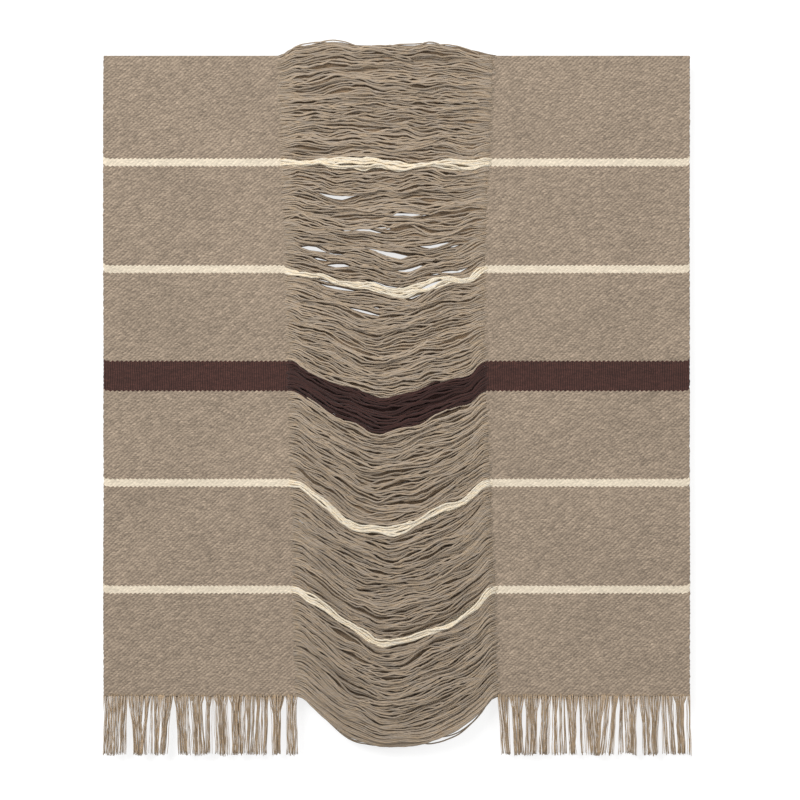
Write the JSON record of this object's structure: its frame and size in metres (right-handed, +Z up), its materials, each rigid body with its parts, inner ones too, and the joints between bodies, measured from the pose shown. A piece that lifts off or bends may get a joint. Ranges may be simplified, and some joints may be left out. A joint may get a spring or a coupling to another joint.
{
  "type": "woven wall hanging",
  "caption": "Flat wool wall hanging: woven side panels joined by free wefts that sag in swags, with a dark band, cream lines and a warp fringe.",
  "frame": {"origin": "middle of the top edge, on the plane of the wall behind the cloth", "axes": "+Z up, +X to the viewer's right along the top edge, -Y out of the wall towards the viewer"},
  "size_m": [0.7037, 0.01, 0.8529],
  "materials": {
    "natural_wool": "matte heathered taupe wool, twill woven",
    "dark_wool": "matte dark brown wool, tightly beaten",
    "cream_wool": "matte cream wool",
    "warp_yarn": "matte tan warp yarn, cut ends"
  },
  "bodies": {
    "root": {"panel_left": "natural_wool", "panel_right": "natural_wool", "fringe_left": "warp_yarn", "fringe_right": "warp_yarn", "wefts_01_natural": "natural_wool", "wefts_02_cream": "cream_wool", "wefts_03_natural": "natural_wool", "wefts_04_cream": "cream_wool", "wefts_05_natural": "natural_wool", "wefts_06_dark": "dark_wool", "wefts_07_natural": "natural_wool", "wefts_08_cream": "cream_wool", "wefts_09_natural": "natural_wool", "wefts_10_cream": "cream_wool", "wefts_11_natural": "natural_wool"}
  },
  "joints": []
}
